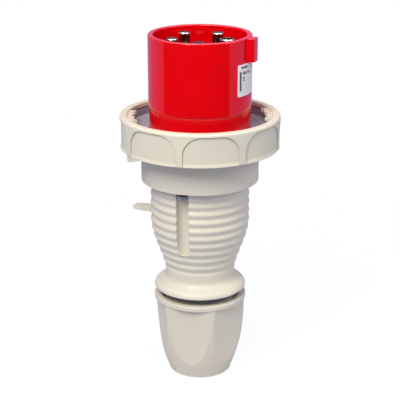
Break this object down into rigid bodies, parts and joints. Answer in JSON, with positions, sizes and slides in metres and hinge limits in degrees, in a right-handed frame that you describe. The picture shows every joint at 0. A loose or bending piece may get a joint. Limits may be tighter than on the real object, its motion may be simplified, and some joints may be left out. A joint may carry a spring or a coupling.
{
  "type": "pin and sleeve plug",
  "caption": "Watertight industrial pin and sleeve plug with a red contact sleeve, turning bayonet ring, ribbed handle and a screwed cable gland.",
  "frame": {"origin": "on the plug's axis at the foot of the gland nut, where the cable goes in", "axes": "+Z along the plug from the cable entry to the pins, +X towards the keying nose and the earth pin"},
  "size_m": [0.111, 0.111, 0.247],
  "materials": {
    "red_plastic": "moulded, glossy",
    "grey_plastic": "moulded, satin",
    "nut_plastic": "moulded, satin",
    "black_plastic": "moulded",
    "white_plastic": "moulded",
    "pin_metal": "nickel plated brass",
    "zinc_steel": "zinc plated",
    "insert_brass": "turned, knurled",
    "gasket_rubber": "moulded",
    "dark_rubber": "moulded",
    "label_film": "printed film"
  },
  "bodies": {
    "plug": {"contact_sleeve": "red_plastic", "pin_carrier": "black_plastic", "lock_plate": "white_plastic", "plate_screws": "zinc_steel", "line_pin_1": "pin_metal", "line_pin_2": "pin_metal", "line_pin_3": "pin_metal", "neutral_pin": "pin_metal", "earth_pin": "pin_metal", "pilot_pin": "pin_metal", "terminal_screws": "zinc_steel", "rating_label": "label_film", "face_gasket": "gasket_rubber", "housing": "grey_plastic", "housing_seal": "dark_rubber", "neck_ring": "dark_rubber", "threaded_inserts": "insert_brass", "assembly_screws": "zinc_steel", "screw_washers": "dark_rubber", "gland_seal": "dark_rubber"},
    "ring": {"bayonet_ring": "grey_plastic"},
    "clamp": {"slip_ring": "white_plastic", "clamp_cage": "black_plastic"},
    "nut": {"gland_nut": "nut_plastic"}
  },
  "joints": [
    {"name": "ring_turn", "type": "hinge", "parent": "plug", "child": "ring", "pos_m": [0, 0, 0.18], "axis": [0, 0, 1], "range_deg": [0, 50]},
    {"name": "clamp_slide", "type": "slide", "parent": "plug", "child": "clamp", "axis": [0, 0, 1], "range_m": [-0.012, 0]},
    {"name": "nut_turn", "type": "hinge", "parent": "clamp", "child": "nut", "pos_m": [0, 0, 0.03], "axis": [0, 0, 1], "range_deg": [-1440, 0]}
  ],
  "couplings": [
    {"joint": "clamp_slide", "follows": "nut_turn", "m_per_rad": 0.00047746}
  ]
}
